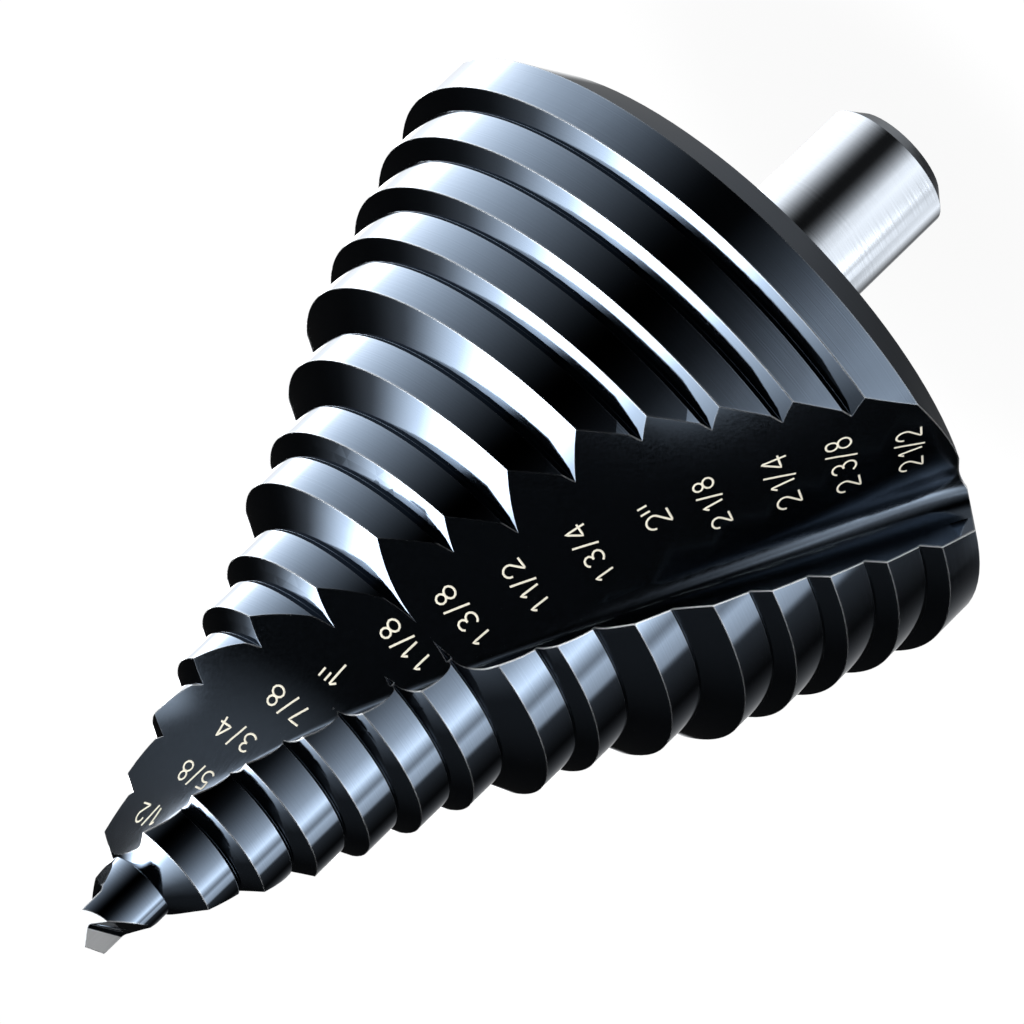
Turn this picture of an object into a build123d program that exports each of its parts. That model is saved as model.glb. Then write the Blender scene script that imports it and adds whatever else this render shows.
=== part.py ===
# A giant step drill: one turned and ground piece of high speed steel.
# It stands on the end of its shank, +Z up to the drill point, millimetres.
from build123d import *
from math import cos, radians, sin, tan
import os

os.makedirs("parts", exist_ok=True)

inch = 25.4

# hole diameters in inches, from the pilot to the last step
pilotSize = 1 / 4
stepSizes = [1 / 2, 5 / 8, 3 / 4, 7 / 8, 1, 1 + 1 / 8, 1 + 3 / 8, 1 + 1 / 2,
             1 + 3 / 4, 2, 2 + 1 / 8, 2 + 1 / 4, 2 + 3 / 8, 2 + 1 / 2]
pilotRadius = pilotSize * inch / 2
radii = [size * inch / 2 for size in stepSizes]
bodyRadius = radii[-1]

# lengths along the axis
landLength = 3.72
coneAngle = 60
shankLength = 21.5
backBevel = (4.0, 3.2)
pointTop = 100.3

# shank, with the centre hole it was turned on
shankRadius = inch / 4
shankChamfer = (1.3, 1.25)
neckDepth = 0.35
neckLength = 1.2
centreRadius = 1.05
centreDepth = 3.0
centreMouth = 1.7

# behind its cutting edge every cone falls away from the work, with a groove at its foot
coneRelief = 0.2
grooveDepth = 0.13
grooveRise = 1.65

# cutters start before the cutting edge, in degrees, and stand clear of the metal, in millimetres
reliefLead = 4
clear = 1

# flute stations: height, angle of the cutting edge, depth of the floor, slope of the floor
fluteStations = [(20, -151.4, 27.56, 0.15),
                 (32, -142.5, 24.13, 0.06),
                 (44, -132.6, 20.82, -0.09),
                 (56, -121.5, 17.20, -0.20),
                 (68, -107.4, 13.15, -0.37),
                 (80, -85.9, 8.72, -0.71),
                 (92, -60.0, 4.57, -0.86),
                 (104, -50.2, -0.49, -1.26)]
rakeAngle = 15
rootShare = 0.08
rootLeast = 0.1
wallReach = 11
floorShare = 1.4

# drill point: two flank planes through the top, and two gashes that leave the web
lipAngle = -51.6
lipDrop = 1.35
heelAngle = -93
heelDrop = 2.05
gashWall = -57.9
gashFloor = 0
gashSlope = 45.5
gashDrop = 1.8
gashRoot = 0.7
gashReach = 12
halfWeb = 0.35


def stepHeights():
    """Number, rear end and front edge of every land from the back up, then the pilot's foot."""
    z = shankLength + backBevel[1]
    rows = []
    for k in range(len(radii) - 1, -1, -1):
        inner = radii[k - 1] if k else pilotRadius
        front = z + landLength
        rows.append((k, z, front))
        z = front + (radii[k] - inner) / tan(radians(coneAngle))
    return rows, z


steps, pilotFoot = stepHeights()


def coneRadius(z):
    """Radius at height z of the smooth cone through the front edges."""
    lowest, highest = steps[0][2], steps[-1][2]
    return bodyRadius - (bodyRadius - radii[0]) * (z - lowest) / (highest - lowest)


def edgeAngle(z):
    """Angle of the cutting edge at height z, straight between the stations."""
    pairs = zip(fluteStations, fluteStations[1:])
    before, after = next((low, high) for low, high in pairs if z <= high[0])
    return before[1] + (after[1] - before[1]) * (z - before[0]) / (after[0] - before[0])


def polar(radius, angle, z=0):
    return Vector(radius * cos(radians(angle)), radius * sin(radians(angle)), z)


def veeOutline(corner, wall, floor, root, wallLength, floorLength):
    """Closed outline of a vee cut with a rounded root: wall, root, floor and the open side."""
    half = radians(wall.get_angle(floor) / 2)
    wallFoot = corner + wall * (root / tan(half))
    floorFoot = corner + floor * (root / tan(half))
    bottom = corner + (wall + floor).normalized() * (root / sin(half) - root)
    wallEnd = corner + wall * wallLength
    floorEnd = corner + floor * floorLength
    Line(wallEnd, wallFoot)
    ThreePointArc(wallFoot, bottom, floorFoot)
    Line(floorFoot, floorEnd)
    Polyline(floorEnd, wallEnd + floor * floorLength, wallEnd)


# the turned blank: shank with its neck and centre hole, back, square steps and pilot
with BuildPart() as blank:
    with BuildSketch(Plane.XZ):
        with BuildLine():
            outline = [(0, centreDepth),
                       (centreRadius, centreDepth),
                       (centreRadius, centreMouth - centreRadius),
                       (centreMouth, 0),
                       (shankRadius - shankChamfer[0], 0),
                       (shankRadius, shankChamfer[1]),
                       (shankRadius, shankLength - neckLength),
                       (shankRadius - neckDepth, shankLength - neckLength + neckDepth),
                       (shankRadius - neckDepth, shankLength),
                       (bodyRadius - backBevel[0], shankLength)]
            shoulders = [rear for k, rear, front in steps[1:]] + [steps[-1][2]]
            for (k, rear, front), shoulder in zip(steps, shoulders):
                outline += [(radii[k], rear), (radii[k], shoulder)]
            outline += [(pilotRadius, pilotFoot), (pilotRadius, pointTop), (0, pointTop)]
            Polyline(outline, close=True)
        make_face()
    revolve(axis=Axis.Z)

# the cones and their grooves, turned about axes set over towards the cutting edges
with BuildPart() as reliefs:
    for k, rear, front in steps[1:]:
        for turn in (0, 180):
            angle = edgeAngle(rear) + turn
            centre = polar(coneRelief / 2, angle, rear)
            across = polar(1, angle + reliefLead)
            root = Vector(radii[k] - grooveDepth - coneRelief / 2, grooveDepth / tan(radians(coneAngle)))
            reach = radii[k + 1] - radii[k] + clear
            coneEnd = root + Vector(reach, -reach / tan(radians(coneAngle)))
            grooveEnd = root + Vector(clear, clear * grooveRise)
            with BuildSketch(Plane(origin=centre, x_dir=across, z_dir=across.cross(Vector(0, 0, 1)))):
                with BuildLine():
                    Polyline(root, coneEnd, (coneEnd.X, grooveEnd.Y), grooveEnd, close=True)
                make_face()
            revolve(axis=Axis(centre, (0, 0, 1)), revolution_arc=-180)

# one flute: a hooked rake wall, a rounded root and a long numbered floor
with BuildPart() as flute:
    for z, angle, depth, slope in fluteStations:
        radius = coneRadius(z)
        root = rootShare * radius + rootLeast
        wall = Vector(cos(radians(rakeAngle)), sin(radians(rakeAngle)))
        floor = Vector(slope, 1).normalized()
        # the floor passes through (depth, root / 2), the wall through (radius, 0)
        along = ((depth - radius) * wall.Y - root / 2 * wall.X) / (floor.Y * wall.X - floor.X * wall.Y)
        corner = Vector(depth, root / 2) + floor * along
        with BuildSketch(Plane(origin=(0, 0, z), x_dir=polar(1, angle), z_dir=(0, 0, 1))):
            with BuildLine():
                veeOutline(corner, wall, floor, root, radius - corner.length + wallReach,
                           floorShare * radius + wallReach)
            make_face()
    loft()

# one gash at the drill point: an upright wall at the lip and a steep plane down to the heel
with BuildPart() as gash:
    wallNormal = polar(1, gashWall + 90)
    floorNormal = polar(sin(radians(gashSlope)), gashFloor, cos(radians(gashSlope)))
    valley = wallNormal.cross(floorNormal).normalized()
    # the point of the valley that lies on both planes, level with the axis
    foot = wallNormal * halfWeb
    foot = foot + Vector(0, 0, pointTop - gashDrop - foot.dot(floorNormal) / floorNormal.Z)
    section = Plane(origin=foot, x_dir=wallNormal, z_dir=valley)
    wallUp = section.to_local_coords(foot + valley.cross(wallNormal))
    floorOut = section.to_local_coords(foot + floorNormal.cross(valley))
    with BuildSketch(section):
        with BuildLine():
            veeOutline(Vector(0, 0), wallUp, floorOut, gashRoot, gashReach, gashReach)
        make_face()
    extrude(amount=gashReach, both=True)

with BuildPart() as step_drill:
    add(blank.part)
    add(reliefs.part, mode=Mode.SUBTRACT)
    for turn in (0, 180):
        add(flute.part, rotation=(0, 0, turn), mode=Mode.SUBTRACT)
        add(gash.part, rotation=(0, 0, turn), mode=Mode.SUBTRACT)
        top = Vector(0, 0, pointTop)
        lip = polar(pilotRadius, lipAngle + turn, -lipDrop)
        heel = polar(pilotRadius, heelAngle + turn, -heelDrop)
        split(bisect_by=Plane(origin=top, z_dir=heel.cross(lip)), keep=Keep.BOTTOM)

step_drill.part.label = "step_drill"
export_step(step_drill.part, "parts/step_drill.step")
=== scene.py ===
import math

import bmesh
import bpy
import numpy as np
from mathutils import Matrix, Vector
from mathutils.bvhtree import BVHTree


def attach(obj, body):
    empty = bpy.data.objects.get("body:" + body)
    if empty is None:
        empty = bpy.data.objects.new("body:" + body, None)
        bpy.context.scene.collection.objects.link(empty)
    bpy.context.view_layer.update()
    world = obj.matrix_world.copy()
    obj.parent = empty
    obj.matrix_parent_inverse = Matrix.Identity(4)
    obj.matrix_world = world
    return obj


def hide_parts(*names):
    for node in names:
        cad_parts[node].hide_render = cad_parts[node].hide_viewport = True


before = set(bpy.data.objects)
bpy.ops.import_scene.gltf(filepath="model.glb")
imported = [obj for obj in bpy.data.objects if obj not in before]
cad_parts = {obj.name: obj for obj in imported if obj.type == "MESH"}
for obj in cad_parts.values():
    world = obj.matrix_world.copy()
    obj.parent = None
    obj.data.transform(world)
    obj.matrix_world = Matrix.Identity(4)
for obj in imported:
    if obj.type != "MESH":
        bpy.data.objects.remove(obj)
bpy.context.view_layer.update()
bpy.context.scene.view_settings.view_transform = "Standard"
mm = 0.001
white = (1, 1, 1, 1)


# sRGB hex to the linear colour that a socket takes
def hexColour(code):
    parts = [int(code[k:k + 2], 16) / 255 for k in (1, 3, 5)]
    return [p / 12.92 if p <= 0.04045 else ((p + 0.055) / 1.055) ** 2.4 for p in parts] + [1]


# adds one node, sets it up and links it: a socket as input is a link, anything else is a value
def addNode(tree, kind, inputs=None, **settings):
    made = tree.nodes.new(kind)
    for name, value in settings.items():
        setattr(made, name, value)
    for key, value in (inputs or {}).items():
        if isinstance(value, bpy.types.NodeSocket):
            tree.links.new(value, made.inputs[key])
        else:
            made.inputs[key].default_value = value
    return made


# where the photograph was taken from, as solved from the rims of the steps
camera = {
    "place": (0, -647.946 * mm, 259.618 * mm),
    "right": (-0.694406, -0.223031, -0.684143),
    "up": (0.719580, -0.217045, -0.659614),
    "lens": 283.56,
    "sensor": 36,
}


def makeCamera():
    right, up = Vector(camera["right"]), Vector(camera["up"])
    turned = Matrix((right, up, right.cross(up))).transposed().to_4x4()
    data = bpy.data.cameras.new("camera")
    data.lens = camera["lens"]
    data.sensor_width = camera["sensor"]
    seen = bpy.data.objects.new("camera", data)
    seen.matrix_world = Matrix.Translation(camera["place"]) @ turned
    bpy.context.scene.collection.objects.link(seen)
    bpy.context.scene.camera = seen


# the studio as the metal mirrors it: cards and gaps between them. A stop is a direction (azimuth in degrees,
# or the lean sideways of the overhead box) and a brightness as the eye sees it, 1 for the brightest. The
# pairs by themselves say where along X, Y or Z of the mirrored direction a card begins and where it is whole
surround = {
    "low": [(-180, 0.62), (-174, 0.42), (-162, 0.84), (-146, 0.57), (-90, 0.1), (-66, 0), (34, 0.8), (40, 1),
            (54, 1), (60, 0.64), (70, 0.53), (88, 1), (91, 1), (96, 0.33), (138, 0.06), (165, 0.18),
            (169, 0.5), (180, 0.62)],
    "lowLamp": 7.0,
    "deep": [(-180, 0.8), (-158, 0.75), (-126, 1), (-110, 0.95), (-70, 0.14), (-54, 0.12), (-20, 0.8),
             (-6, 1), (60, 1), (90, 0.78), (114, 0.35), (146, 0.95), (180, 0.8)],
    "deepLamp": 1.6,
    "deepFrom": (-0.348, -0.362),
    "deepEnd": (-0.4, -0.5),
    "deepLeft": 0.18,
    "high": [(-0.5, 0.1), (-0.32, 0.23), (0, 0.71), (0.08, 1), (0.4, 1), (0.47, 0.74), (0.7, 0.25),
             (0.9, 0.11)],
    "highLamp": 8.8,
    "highLeast": 0.05,
    "dome": (0.35, 0.8),
    "behind": (-0.1, 0.12),
    "sideOut": (0.5, 0.75),
    "sideUp": (0.48, 0.62),
    "sideLight": 0.25,
    "rightOut": (0.55, 0.95),
    "rightLight": (0.008, 0.3),
    "horizon": (-0.2, -0.12),
    "eye": 2.4,
    "mattLight": 0.75,
}


# a pair of the surround as the range that a Map Range node reads
def between(name):
    return dict(zip((1, 2), surround[name]))


# brightness along a row of cards, as a light level
def cardLight(tree, place, stops, span, lamp):
    lowest, highest = span
    share = addNode(tree, "ShaderNodeMapRange", {0: place, 1: lowest, 2: highest}).outputs[0]
    row = addNode(tree, "ShaderNodeValToRGB", {0: share})
    cards = row.color_ramp.elements
    cards.remove(cards[-1])
    for k, (spot, seen) in enumerate(stops):
        position = (spot - lowest) / (highest - lowest)
        card = cards.new(position) if k else cards[0]
        card.position = position
        card.color = (seen, seen, seen, 1)
    light = addNode(tree, "ShaderNodeMath", {0: row.outputs[0], 1: surround["eye"]}, operation="POWER")
    return addNode(tree, "ShaderNodeMath", {0: light.outputs[0], 1: lamp}, operation="MULTIPLY").outputs[0]


# below the horizon: bright cards left and right, dark in front
def lowCards(tree, x, y, z):
    turn = addNode(tree, "ShaderNodeMath", {0: y, 1: x}, operation="ARCTAN2").outputs[0]
    azimuth = addNode(tree, "ShaderNodeMath", {0: turn}, operation="DEGREES").outputs[0]
    near = cardLight(tree, azimuth, surround["low"], (-180, 180), surround["lowLamp"])
    # deeper down, where the shank looks, the cards are wider, and they end further down
    deep = cardLight(tree, azimuth, surround["deep"], (-180, 180), surround["deepLamp"])
    ending = {0: z, **between("deepEnd"), 3: 1, 4: surround["deepLeft"]}
    fade = addNode(tree, "ShaderNodeMapRange", ending).outputs[0]
    deep = addNode(tree, "ShaderNodeMath", {0: deep, 1: fade}, operation="MULTIPLY").outputs[0]
    down = addNode(tree, "ShaderNodeMapRange", {0: z, **between("deepFrom")}).outputs[0]
    return addNode(tree, "ShaderNodeMix", {0: down, 2: near, 3: deep}, data_type="FLOAT").outputs[0]


# above it: one softbox overhead and behind, a little to the right, dark round it
def highCards(tree, x, y, z):
    height = addNode(tree, "ShaderNodeMath", {0: z, 1: surround["highLeast"]},
                     operation="MAXIMUM").outputs[0]
    lean = addNode(tree, "ShaderNodeMath", {0: x, 1: height}, operation="DIVIDE").outputs[0]
    overhead = cardLight(tree, lean, surround["high"], (-1, 1), 1)
    dome = addNode(tree, "ShaderNodeMapRange", {0: z, **between("dome")},
                   interpolation_type="SMOOTHSTEP").outputs[0]
    shaped = addNode(tree, "ShaderNodeMath", {0: overhead, 1: dome}, operation="MULTIPLY").outputs[0]
    # two side cards, high up, for the cones seen from other sides
    wide = addNode(tree, "ShaderNodeMath", {0: x}, operation="ABSOLUTE").outputs[0]
    aside = addNode(tree, "ShaderNodeMapRange", {0: wide, **between("sideOut")}).outputs[0]
    lifted = {0: z, **between("sideUp"), 4: surround["sideLight"]}
    lifted = addNode(tree, "ShaderNodeMapRange", lifted).outputs[0]
    joined = addNode(tree, "ShaderNodeMath", {0: aside, 1: lifted, 2: shaped},
                     operation="MULTIPLY_ADD").outputs[0]
    behind = addNode(tree, "ShaderNodeMapRange", {0: y, **between("behind")},
                     interpolation_type="SMOOTHSTEP").outputs[0]
    box = addNode(tree, "ShaderNodeMath", {0: joined, 1: behind}, operation="MULTIPLY").outputs[0]
    # and a dim card on the right
    dimmest, brightest = surround["rightLight"]
    card = {0: x, **between("rightOut"), 3: dimmest, 4: brightest}
    card = addNode(tree, "ShaderNodeMapRange", card).outputs[0]
    return addNode(tree, "ShaderNodeMath", {0: box, 1: surround["highLamp"], 2: card},
                   operation="MULTIPLY_ADD").outputs[0]


def makeWorld():
    world = bpy.data.worlds.new("studio")
    bpy.context.scene.world = world
    world.use_nodes = True
    tree = world.node_tree
    tree.nodes.clear()
    ways = addNode(tree, "ShaderNodeTexCoord").outputs["Generated"]
    x, y, z = addNode(tree, "ShaderNodeSeparateXYZ", {0: ways}).outputs
    low = lowCards(tree, x, y, z)
    high = highCards(tree, x, y, z)
    up = addNode(tree, "ShaderNodeMapRange", {0: z, **between("horizon")},
                 interpolation_type="SMOOTHSTEP").outputs[0]
    mirrored = addNode(tree, "ShaderNodeMix", {0: up, 2: low, 3: high}, data_type="FLOAT").outputs[0]
    # the camera sees plain white, matt faces get an even light, and the metal mirrors the cards:
    # with white all round in the mirror, the flutes would be pale instead of black
    path = addNode(tree, "ShaderNodeLightPath").outputs
    seen = addNode(tree, "ShaderNodeMath", {0: path["Is Camera Ray"], 1: path["Is Transmission Ray"]},
                   operation="MAXIMUM").outputs[0]
    plain = addNode(tree, "ShaderNodeMix", {0: seen, 2: surround["mattLight"], 3: 1.0},
                    data_type="FLOAT").outputs[0]
    level = addNode(tree, "ShaderNodeMix", {0: path["Is Glossy Ray"], 2: plain, 3: mirrored},
                    data_type="FLOAT").outputs[0]
    light = addNode(tree, "ShaderNodeBackground", {0: white, 1: level})
    addNode(tree, "ShaderNodeOutputWorld", {0: light.outputs[0]})


def newMaterial(name):
    made = bpy.data.materials.new(name)
    made.use_nodes = True
    made.node_tree.nodes.clear()
    return made, made.node_tree


# the floor is matt and pale, and the camera sees it glow almost white with only a faint shade
paleFloor = {
    "half": 3.0,
    "matt": "#ececec",
    "faint": "#505050",
    "glow": 0.93,
}


def makeFloor():
    mesh = bpy.data.meshes.new("floor")
    half = paleFloor["half"]
    corners = [(-half, -half, 0), (half, -half, 0), (half, half, 0), (-half, half, 0)]
    mesh.from_pydata(corners, [], [(0, 1, 2, 3)])
    floor = bpy.data.objects.new("floor", mesh)
    bpy.context.scene.collection.objects.link(floor)
    floor.visible_glossy = False  # the metal mirrors the cards below the horizon instead
    made, tree = newMaterial("pale floor")
    path = addNode(tree, "ShaderNodeLightPath").outputs
    matt = addNode(tree, "ShaderNodeBsdfDiffuse", {0: hexColour(paleFloor["matt"])}).outputs[0]
    faint = addNode(tree, "ShaderNodeBsdfDiffuse", {0: hexColour(paleFloor["faint"])}).outputs[0]
    glow = addNode(tree, "ShaderNodeEmission", {0: white, 1: paleFloor["glow"]}).outputs[0]
    lit = addNode(tree, "ShaderNodeAddShader", {0: faint, 1: glow}).outputs[0]
    mixed = addNode(tree, "ShaderNodeMixShader", {0: path["Is Camera Ray"], 1: matt, 2: lit})
    addNode(tree, "ShaderNodeOutputMaterial", {0: mixed.outputs[0]})
    mesh.materials.append(made)


# one round softbox, left out of the metal's mirror image because the surround has its own
softbox = {
    "size": 0.5,
    "power": 3,
    "place": (0.1, -0.15, 0.7),
    "aim": (0, 0, 0.05),
}


def makeLamp():
    data = bpy.data.lights.new("softbox", "AREA")
    data.shape = "DISK"
    data.size = softbox["size"]
    data.energy = softbox["power"]
    lamp = bpy.data.objects.new("softbox", data)
    lamp.location = softbox["place"]
    lamp.rotation_euler = (lamp.location - Vector(softbox["aim"])).to_track_quat("Z", "Y").to_euler()
    lamp.visible_glossy = False
    lamp.visible_camera = False
    bpy.context.scene.collection.objects.link(lamp)


# the flute as it is ground: height, angle of the cutting edge, depth and slope of the floor (mm, degrees),
# then the cone it is cut into as radius and height, and how near a point lies to count as on the flute
flute = {
    "stations": [(20, -151.4, 27.56, 0.15), (32, -142.5, 24.13, 0.06), (44, -132.6, 20.82, -0.09),
                 (56, -121.5, 17.20, -0.20), (68, -107.4, 13.15, -0.37), (80, -85.9, 8.72, -0.71),
                 (92, -60.0, 4.57, -0.86), (104, -50.2, -0.49, -1.26)],
    "largest": (31.75, 28.42),
    "smallest": (6.35, 91.44),
    "rake": 15,
    "root": (0.08, 0.1),
    "wallReach": 11,
    "floorShare": 1.4,
    "heights": (20, 101),
    "near": 0.16,
    "rootSpread": (1.16, 0.4),
    "slopeStep": 0.05,
}


# one section of the flute: outer end and foot of the wall, foot and outer end of the floor
def fluteSection(z, angle, depth, slope):
    (widest, low), (narrowest, high) = flute["largest"], flute["smallest"]
    radius = widest - (widest - narrowest) * (z - low) / (high - low)
    root = flute["root"][0] * radius + flute["root"][1]
    rake = math.radians(flute["rake"])
    wall = np.array([math.cos(rake), math.sin(rake)])
    floor = np.array([slope, 1]) / math.hypot(slope, 1)
    along = ((depth - radius) * wall[1] - root / 2 * wall[0]) / (floor[1] * wall[0] - floor[0] * wall[1])
    corner = np.array([depth, root / 2]) + floor * along
    reach = root / math.tan(math.acos(wall @ floor) / 2)
    wallLength = radius - np.linalg.norm(corner) + flute["wallReach"]
    floorLength = flute["floorShare"] * radius + flute["wallReach"]
    turn = math.radians(angle)
    axes = np.array([[math.cos(turn), -math.sin(turn)], [math.sin(turn), math.cos(turn)]])
    ends = [wall * wallLength, wall * reach, floor * reach, floor * floorLength]
    return [axes @ (corner + end) for end in ends]


# smooth curves over the height through the four ends of every section
def fluteCurves():
    heights = [station[0] for station in flute["stations"]]
    ends = np.array([fluteSection(*station) for station in flute["stations"]])
    degree = len(heights) - 1
    fit = np.polynomial.Polynomial.fit
    return [[fit(heights, ends[:, k, axis], degree) for axis in (0, 1)] for k in range(4)]


curves = fluteCurves()
wallEnds, floorEnds = (1, 0), (2, 3)


# where the ruling of the wall or the floor starts at these heights, and which way it runs
def rulingAt(ends, z):
    start, end = (np.stack([axis(z) for axis in curves[k]], -1) for k in ends)
    way = end - start
    return start, way / np.linalg.norm(way, axis=-1, keepdims=True)


# distance from the ruled face, place along its ruling and its outward normal, at points in mm
def ruledFace(ends, points):
    step = flute["slopeStep"]
    start, way = rulingAt(ends, points[:, 2])
    offset = points[:, :2] - start
    along = (offset * way).sum(1, keepdims=True)
    away = way[:, 0] * offset[:, 1] - way[:, 1] * offset[:, 0]
    highStart, highWay = rulingAt(ends, points[:, 2] + step)
    lowStart, lowWay = rulingAt(ends, points[:, 2] - step)
    climb = (highStart + along * highWay - lowStart - along * lowWay) / (2 * step)
    normal = np.stack([way[:, 1], -way[:, 0], way[:, 0] * climb[:, 1] - way[:, 1] * climb[:, 0]], -1)
    if ends == wallEnds:
        normal = -normal
    return away, along[:, 0], normal / np.linalg.norm(normal, axis=1, keepdims=True)


# which points (mm) lie on the flute, and the flute's own normal there
def fluteAt(points):
    lowest, highest = flute["heights"]
    within = (points[:, 2] > lowest) & (points[:, 2] < highest)
    wallAway, wallAlong, wallNormal = ruledFace(wallEnds, points)
    floorAway, floorAlong, floorNormal = ruledFace(floorEnds, points)
    wallFoot, floorFoot = rulingAt(wallEnds, points[:, 2])[0], rulingAt(floorEnds, points[:, 2])[0]
    toWall = np.linalg.norm(points[:, :2] - wallFoot, axis=1)
    toFloor = np.linalg.norm(points[:, :2] - floorFoot, axis=1)
    chord = np.linalg.norm(wallFoot - floorFoot, axis=1)
    spread, slack = flute["rootSpread"]
    inRoot = toWall + toFloor < spread * chord + slack
    share = (toWall / (toWall + toFloor))[:, None]
    rootNormal = wallNormal * (1 - share) + floorNormal * share
    rootNormal /= np.linalg.norm(rootNormal, axis=1, keepdims=True)
    onWall = (np.abs(wallAway) < flute["near"]) & (wallAlong > 0)
    onFloor = (np.abs(floorAway) < flute["near"]) & (floorAlong > 0)
    normal = np.where(onFloor[:, None], floorNormal, wallNormal)
    normal = np.where((inRoot & ~onFloor & ~onWall)[:, None], rootNormal, normal)
    return within & (onWall | onFloor | inRoot), normal


# what all the steel has in common: its lines change gloss and shade a little, its edges are rounded,
# and where the metal is thin, at the edges, it is painted pale: partly worn bare steel, partly a painted
# highlight
steel = {
    "stretch": 0.03,
    "glossMarks": (0.3, 0.7),
    "gloss": (0.8, 1.25),
    "shadeMarks": (0.25, 0.75),
    "shade": (0.94, 1.05),
    "lineBump": 0.02,
    "lineDepth": 0.02 * mm,
    "edgeRadius": 0.07 * mm,
    "wearAndHighlightWithin": 0.2 * mm,
    "wearAndHighlightMarks": (0.9, 0.66),
    "wearAndHighlightColour": "#eef1f4",
    "wearAndHighlightRoughness": 0.45,
    "ringHalf": (0.2 * mm, 0.12 * mm),
    "ringColour": "#aab4c0",
}


# steel with its lines round the axis, or lengthwise where it was ground along the flute. Lines are so many
# per mm, coarser than the real ones so that they show; a ring of that radius may stand out on a flat face
def workedSteel(name, colour, roughness, lines, lengthwise=False, edgeWearAndHighlight=0.0, ring=None):
    made, tree = newMaterial(name)
    place = addNode(tree, "ShaderNodeTexCoord").outputs["Object"]
    x, y, z = addNode(tree, "ShaderNodeSeparateXYZ", {0: place}).outputs
    flat = addNode(tree, "ShaderNodeCombineXYZ", {0: x, 1: y}).outputs[0]
    radius = addNode(tree, "ShaderNodeVectorMath", {0: flat}, operation="LENGTH").outputs["Value"]
    if lengthwise:
        stretch = {"Vector": place, "Scale": (1, 1, steel["stretch"])}
        stretched = addNode(tree, "ShaderNodeMapping", stretch).outputs[0]
        marks = addNode(tree, "ShaderNodeTexNoise", {"Vector": stretched, "Scale": lines / mm,
                                                     "Detail": 2}).outputs[0]
    else:
        along = addNode(tree, "ShaderNodeMath", {0: z, 1: radius}, operation="SUBTRACT").outputs[0]
        marks = addNode(tree, "ShaderNodeTexNoise", {"W": along, "Scale": lines / mm, "Detail": 3},
                        noise_dimensions="1D").outputs[0]
    (low, high), (least, most) = steel["glossMarks"], steel["gloss"]
    rough = addNode(tree, "ShaderNodeMapRange", {0: marks, 1: low, 2: high, 3: roughness * least,
                                                 4: roughness * most}).outputs[0]
    (low, high), (least, most) = steel["shadeMarks"], steel["shade"]
    shade = addNode(tree, "ShaderNodeMapRange", {0: marks, 1: low, 2: high, 3: least, 4: most}).outputs[0]
    base = addNode(tree, "ShaderNodeVectorMath", {0: hexColour(colour)[:3], "Scale": shade},
                   operation="SCALE").outputs[0]
    if ring:
        offset = addNode(tree, "ShaderNodeMath", {0: radius, 1: ring}, operation="SUBTRACT").outputs[0]
        away = addNode(tree, "ShaderNodeMath", {0: offset}, operation="ABSOLUTE").outputs[0]
        outer, inner = steel["ringHalf"]
        near = addNode(tree, "ShaderNodeMapRange", {0: away, 1: outer, 2: inner}).outputs[0]
        base = addNode(tree, "ShaderNodeMix", {0: near, 6: base, 7: hexColour(steel["ringColour"])},
                       data_type="RGBA").outputs[2]
    rounded = addNode(tree, "ShaderNodeBevel", {0: steel["edgeRadius"]}, samples=6).outputs[0]
    # thin edges are mixed to a pale, rougher colour: partly bare steel where the coat wore off, partly a
    # painted highlight that shows from every side
    if edgeWearAndHighlight:
        thin = addNode(tree, "ShaderNodeAmbientOcclusion", {"Distance": steel["wearAndHighlightWithin"]}, inside=True,
                       only_local=True, samples=8).outputs["AO"]
        whole, bare = steel["wearAndHighlightMarks"]
        edge = addNode(tree, "ShaderNodeMapRange", {0: thin, 1: whole, 2: bare, 4: edgeWearAndHighlight}).outputs[0]
        base = addNode(tree, "ShaderNodeMix", {0: edge, 6: base, 7: hexColour(steel["wearAndHighlightColour"])},
                       data_type="RGBA").outputs[2]
        rough = addNode(tree, "ShaderNodeMix", {0: edge, 2: rough, 3: steel["wearAndHighlightRoughness"]},
                        data_type="FLOAT").outputs[0]
    lined = {"Strength": steel["lineBump"], "Distance": steel["lineDepth"], "Height": marks,
             "Normal": rounded}
    bump = addNode(tree, "ShaderNodeBump", lined).outputs[0]
    metal = {"Base Color": base, "Metallic": 1.0, "Roughness": rough, "Normal": bump}
    shader = addNode(tree, "ShaderNodeBsdfPrincipled", metal).outputs[0]
    addNode(tree, "ShaderNodeOutputMaterial", {0: shader})
    return made


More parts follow.
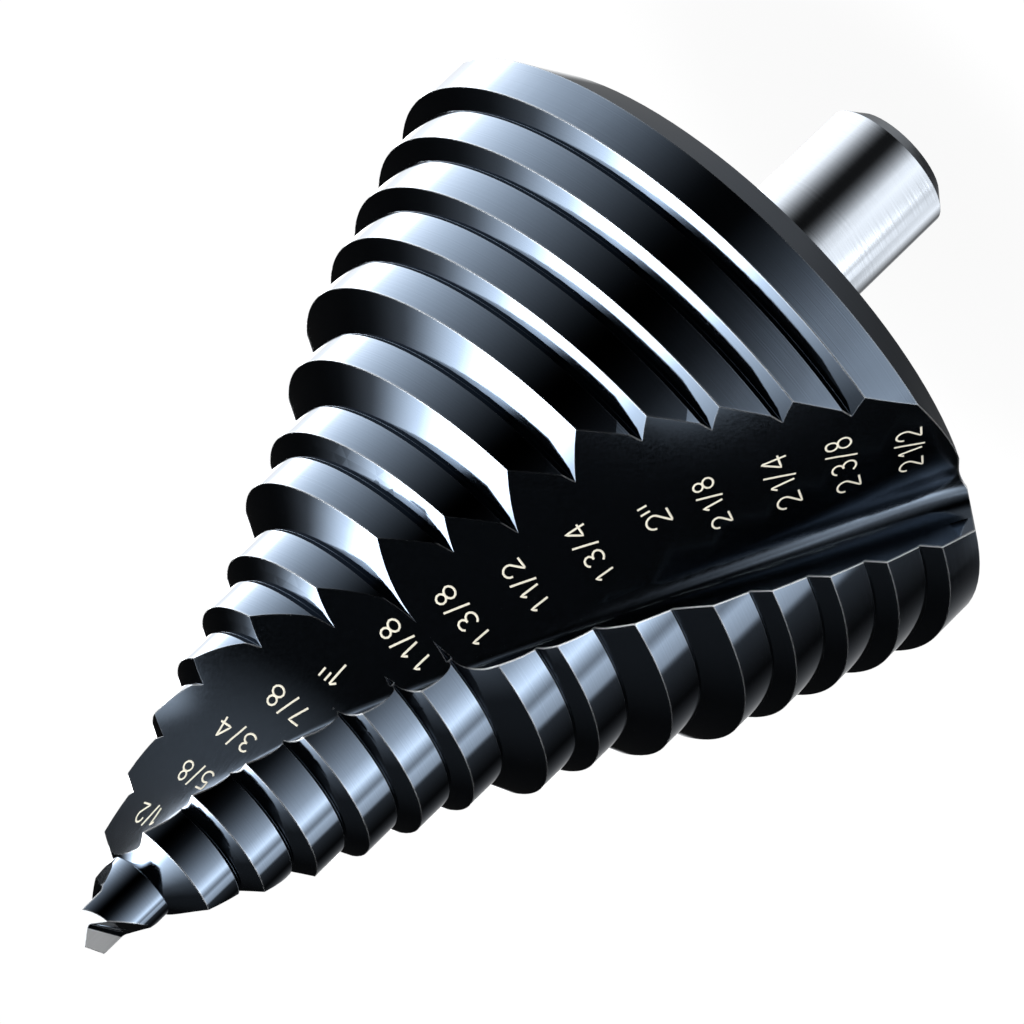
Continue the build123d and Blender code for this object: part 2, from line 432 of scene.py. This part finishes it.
# the drill's body: its finishes in the order of its material slots, then how its faces are told apart. Sizes
# are in mm, the sharpest smooth edge in degrees, a match is a cosine, a tilt the upward part of a normal
drill = {
    "finishes": {
        # blue-black coat over turned steel: deep and mirror bright, its edges painted white: worn bare steel
        # and a painted highlight
        "coat": dict(name="blue-black coated steel, turned", colour="#6a7787", roughness=0.055, lines=9,
                     edgeWearAndHighlight=1.0),
        # bare high speed steel from the grinder: pale grey, soft streaks round the shank
        "bare": dict(name="bare ground steel", colour="#d0d8e2", roughness=0.1, lines=4),
        # the back is left satin by the turning tool, with a thin pale ring round the shank
        "satin": dict(name="blue-black coated steel, satin", colour="#3c4554", roughness=0.3, lines=5,
                      edgeWearAndHighlight=0.3, ring=8.5 * mm),
        # the flutes are ground along their length and coated: a little duller than the turned faces
        "flute": dict(name="blue-black coated steel, ground", colour="#5d6875", roughness=0.18, lines=5,
                      lengthwise=True, edgeWearAndHighlight=1.0),
        # the point's flanks are ground after coating, so they are bare and pale
        "flank": dict(name="bare ground point", colour="#d6dade", roughness=0.16, lines=6, lengthwise=True),
        # the gash walls beside the chisel edge are bare too, and coarser
        "gash": dict(name="bare ground gash", colour="#eceef0", roughness=0.5, lines=4, lengthwise=True),
    },
    "sharpest": 24,
    "fluteMatch": 0.86,
    "turnedMatch": 0.9985,
    "turnedSide": 0.05,
    "axisClear": 0.3,
    "shankRadius": 6.6,
    "shankTop": 20.4,
    "backTilt": -0.9,
    "flankFrom": 97.5,
    "flankTilt": 0.75,
    "gashFrom": 95,
    "gashTilt": 0.05,
}


# turned faces look straight away from the axis
def isTurned(centre, normal):
    out = Vector((centre.x, centre.y))
    side = Vector((normal.x, normal.y))
    if side.length <= drill["turnedSide"]:
        return False
    return side.normalized().dot(out.normalized()) > drill["turnedMatch"]


# the kind of every face: the number of its flute, or turned, or flat
def sortFaces(shell, sides):
    kinds = {}
    for face in shell.faces:
        corners = [v.index for v in face.verts]
        kinds[face] = "flat"
        for k, (near, normal) in enumerate(sides):
            match = normal[corners].mean(0) @ np.array(face.normal)
            if near[corners].all() and match > drill["fluteMatch"]:
                kinds[face] = k
        if kinds[face] == "flat" and isTurned(face.calc_center_median(), face.normal):
            kinds[face] = "turned"
    return kinds


# the finish of a face, by its kind, its centre and its tilt
def finishOf(kind, centre, tilt):
    if kind in (0, 1):
        return "flute"
    if math.hypot(centre.x, centre.y) < drill["shankRadius"] * mm and centre.z < drill["shankTop"] * mm:
        return "bare"
    if tilt < drill["backTilt"]:
        return "satin"
    if kind == "flat" and centre.z > drill["flankFrom"] * mm and tilt > drill["flankTilt"]:
        return "flank"
    if kind == "flat" and centre.z > drill["gashFrom"] * mm and abs(tilt) < drill["gashTilt"]:
        return "gash"
    return "coat"


# the drill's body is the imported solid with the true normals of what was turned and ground
def makeBody():
    shell = bmesh.new()
    shell.from_mesh(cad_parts["step_drill"].data)
    bmesh.ops.remove_doubles(shell, verts=shell.verts, dist=0.001 * mm)
    shell.normal_update()
    places = np.array([v.co for v in shell.verts], float)
    sides = []
    for turn in (1, -1):
        turned = np.array([turn, turn, 1])
        near, normal = fluteAt(places / mm * turned)
        sides.append((near, normal * turned))
    kinds = sortFaces(shell, sides)
    for edge in shell.edges:
        first, second = edge.link_faces
        same = kinds[first] == kinds[second]
        blunt = edge.calc_face_angle(0) < math.radians(drill["sharpest"])
        edge.smooth = same and (kinds[first] in (0, 1) or blunt)
    for face in shell.faces:
        face.smooth = True
    kindOf = [kinds[face] for face in shell.faces]
    mesh = bpy.data.meshes.new("drillBody")
    shell.to_mesh(mesh)
    shell.free()
    for look in drill["finishes"].values():
        mesh.materials.append(workedSteel(**look))
    slots = list(drill["finishes"])
    normals = np.array([c.vector for c in mesh.corner_normals], float)
    for face, kind in zip(mesh.polygons, kindOf):
        tilt = face.normal.z
        face.material_index = slots.index(finishOf(kind, face.center, tilt))
        flatShare = math.sqrt(max(0.0, 1 - tilt * tilt))
        for corner in face.loop_indices:
            vertex = mesh.loops[corner].vertex_index
            at = places[vertex]
            reach = math.hypot(at[0], at[1])
            if kind in (0, 1):
                normals[corner] = sides[kind][1][vertex]
            elif kind == "turned" and reach > drill["axisClear"] * mm:
                normals[corner] = (at[0] / reach * flatShare, at[1] / reach * flatShare, tilt)
    mesh.normals_split_custom_set([tuple(n) for n in normals])
    body = bpy.data.objects.new("drillBody", mesh)
    bpy.context.scene.collection.objects.link(body)
    inFlutes = sum(kind in (0, 1) for kind in kindOf)
    print("body made:", len(mesh.polygons), "faces,", inFlutes, "in the flutes")
    return body


# hole sizes in inches on the seen flute: height of the label and its distance from the root line (mm),
# then how tall the rear and inch labels are and how tall the others, and the gaps between signs
holeSizes = {
    "labels": [("2 1/2", 25.6, 5.8), ("2 3/8", 30.8, 6.1), ("2 1/4", 35.6, 6.0), ("2 1/8", 41.0, 5.8),
               ('2"', 45.2, 6.3), ("1 3/4", 50.9, 4.9), ("1 1/2", 56.4, 4.0), ("1 3/8", 61.6, 3.6),
               ("1 1/8", 66.4, 3.2), ('1"', 71.7, 3.7), ("7/8", 76.0, 3.1), ("3/4", 80.3, 3.5),
               ("5/8", 84.7, 2.7), ("1/2", 89.2, 3.4)],
    "tall": (2.15, 1.75),
    "tallBelow": 37,
    "gap": 0.5,
    "space": 0.6,
    "pointGap": 0.2,
    "lift": 1 * mm,
    "search": 1.3 * mm,
    "sunk": 0.06 * mm,
    "bead": 0.12 * mm,
    "beadGap": 0.25 * mm,
    "beadSides": 8,
    "colour": "#f6f1df",
    "roughness": 0.7,
    "patches": 3.5,
    "patchMarks": (0.3, 0.7),
    "patchShade": (0.86, 1.0),
}


# part of an ellipse as points, in degrees from start to end
def bow(x, y, wide, tall, start, end, count=12):
    ways = [math.radians(start + (end - start) * k / count) for k in range(count + 1)]
    return [(x + wide * math.cos(way), y + tall * math.sin(way)) for way in ways]


# each sign's width and strokes, one unit tall
signs = {
    "1": (0.2, [[(0, 0.78), (0.2, 1), (0.2, 0)]]),
    "2": (0.66, [bow(0.33, 0.68, 0.31, 0.32, 175, -35) + [(0, 0), (0.66, 0)]]),
    "3": (0.64, [bow(0.3, 0.76, 0.27, 0.24, 155, -90), bow(0.3, 0.27, 0.33, 0.27, 90, -155)]),
    "4": (0.7, [[(0.52, 0), (0.52, 1), (0, 0.3), (0.7, 0.3)]]),
    "5": (0.64, [[(0.58, 1), (0.1, 1), (0.06, 0.54)] + bow(0.3, 0.31, 0.33, 0.31, 128, -150)]),
    "7": (0.6, [[(0, 1), (0.6, 1), (0.18, 0)]]),
    "8": (0.64, [bow(0.32, 0.76, 0.25, 0.24, -90, 270, 16), bow(0.32, 0.26, 0.32, 0.26, 90, 450, 16)]),
    "/": (0.42, [[(0, -0.12), (0.42, 1.12)]]),
    '"': (0.3, [[(0, 1), (0, 0.6)], [(0.3, 1), (0.3, 0.6)]]),
    " ": (None, []),
}


# strokes of a label about its middle, in mm
def labelStrokes(text, tall):
    pen, strokes = 0.0, []
    for sign in text:
        width, parts = signs[sign]
        if width is None:
            pen += holeSizes["space"]
            continue
        strokes += [[(pen + x * tall, (y - 0.5) * tall) for x, y in part] for part in parts]
        pen += width * tall + holeSizes["gap"]
    half = (pen - holeSizes["gap"]) / 2
    return [[(x - half, y) for x, y in stroke] for stroke in strokes]


# more points on a stroke, no further apart than the gap that is set
def divide(stroke):
    dense = [stroke[0]]
    for (x, y), (nextX, nextY) in zip(stroke, stroke[1:]):
        count = max(1, math.ceil(math.hypot(nextX - x, nextY - y) / holeSizes["pointGap"]))
        dense += [(x + (nextX - x) * k / count, y + (nextY - y) * k / count) for k in range(1, count + 1)]
    return dense


# a stroke laid on the flute's floor, sunk a little; it ends where the floor does
def layStroke(stroke, height, across, surface):
    step = flute["slopeStep"]
    start, way = rulingAt(floorEnds, np.array([height - step, height, height + step]))
    climb = (start[2] + across * way[2] - start[0] - across * way[0]) / (2 * step)
    slip = climb @ way[1]
    rise = math.hypot(*(climb - slip * way[1]), 1)
    run = []
    for u, v in divide(stroke):
        level = height + v / rise
        foot, side = rulingAt(floorEnds, np.array([level]))
        at = foot[0] + side[0] * (across + u - v / rise * slip)
        point = np.array([[at[0], at[1], level]])
        normal = Vector(ruledFace(floorEnds, point)[2][0])
        above = Vector(point[0]) * mm + normal * holeSizes["lift"]
        hit = surface.ray_cast(above, -normal, holeSizes["search"])[0]
        if hit is None:
            break
        run.append(tuple(hit - normal * holeSizes["sunk"]))
    return run


# Geometry Nodes that turn lines into round beads
def beadTree(material):
    tree = bpy.data.node_groups.new("etched line", "GeometryNodeTree")
    tree.interface.new_socket("Lines", in_out="INPUT", socket_type="NodeSocketGeometry")
    tree.interface.new_socket("Radius", in_out="INPUT", socket_type="NodeSocketFloat")
    tree.interface.new_socket("Spacing", in_out="INPUT", socket_type="NodeSocketFloat")
    tree.interface.new_socket("Beads", in_out="OUTPUT", socket_type="NodeSocketGeometry")
    given = addNode(tree, "NodeGroupInput").outputs
    lines = addNode(tree, "GeometryNodeMeshToCurve", {0: given["Lines"]}).outputs[0]
    even = addNode(tree, "GeometryNodeResampleCurve", {"Curve": lines, "Length": given["Spacing"]},
                   mode="LENGTH").outputs[0]
    ring = addNode(tree, "GeometryNodeCurvePrimitiveCircle", {"Resolution": holeSizes["beadSides"],
                                                              "Radius": given["Radius"]}).outputs[0]
    beads = addNode(tree, "GeometryNodeCurveToMesh", {"Curve": even, "Profile Curve": ring,
                                                      "Fill Caps": True}).outputs[0]
    soft = addNode(tree, "GeometryNodeSetShadeSmooth", {0: beads}).outputs[0]
    whole = addNode(tree, "GeometryNodeRealizeInstances", {0: soft}).outputs[0]
    painted = addNode(tree, "GeometryNodeSetMaterial", {"Geometry": whole, "Material": material}).outputs[0]
    addNode(tree, "NodeGroupOutput", {0: painted})
    return tree


# laser etched steel: a matt cream oxide that scatters light, a little patchy along the line
def etchedLine():
    made, tree = newMaterial("laser etched line")
    place = addNode(tree, "ShaderNodeTexCoord").outputs["Object"]
    patch = addNode(tree, "ShaderNodeTexNoise", {"Vector": place, "Scale": holeSizes["patches"] / mm,
                                                 "Detail": 2}).outputs[0]
    (low, high), (least, most) = holeSizes["patchMarks"], holeSizes["patchShade"]
    shade = addNode(tree, "ShaderNodeMapRange", {0: patch, 1: low, 2: high, 3: least, 4: most}).outputs[0]
    base = addNode(tree, "ShaderNodeVectorMath", {0: hexColour(holeSizes["colour"])[:3], "Scale": shade},
                   operation="SCALE").outputs[0]
    matt = {"Base Color": base, "Roughness": holeSizes["roughness"]}
    shader = addNode(tree, "ShaderNodeBsdfPrincipled", matt).outputs[0]
    addNode(tree, "ShaderNodeOutputMaterial", {0: shader})
    return made


def makeNumbers(body):
    shell = bmesh.new()
    shell.from_mesh(body.data)
    surface = BVHTree.FromBMesh(shell)
    shell.free()
    points, lines = [], []
    taller, shorter = holeSizes["tall"]
    for text, height, across in holeSizes["labels"]:
        isTall = height < holeSizes["tallBelow"] or '"' in text
        for stroke in labelStrokes(text, taller if isTall else shorter):
            run = layStroke(stroke, height, across, surface)
            if len(run) > 1:
                lines += [(len(points) + k, len(points) + k + 1) for k in range(len(run) - 1)]
                points += run
    mesh = bpy.data.meshes.new("numberLines")
    mesh.from_pydata(points, lines, [])
    drawn = bpy.data.objects.new("numberLines", mesh)
    bpy.context.scene.collection.objects.link(drawn)
    beads = drawn.modifiers.new("beads", "NODES")
    beads.node_group = beadTree(etchedLine())
    sizes = {"Radius": holeSizes["bead"], "Spacing": holeSizes["beadGap"]}
    for item in beads.node_group.interface.items_tree:
        if item.in_out == "INPUT" and item.name in sizes:
            beads[item.identifier] = sizes[item.name]
    made = bpy.data.meshes.new_from_object(drawn.evaluated_get(bpy.context.evaluated_depsgraph_get()))
    bpy.data.objects.remove(drawn)
    numbers = bpy.data.objects.new("holeSizeNumbers", made)
    bpy.context.scene.collection.objects.link(numbers)
    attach(numbers, "root")
    print("numbers made:", len(holeSizes["labels"]), "labels,", len(made.polygons), "faces")


makeCamera()
makeWorld()
makeLamp()
makeFloor()
print("studio made")
body = makeBody()
makeNumbers(body)
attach(body, "root")
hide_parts("step_drill")
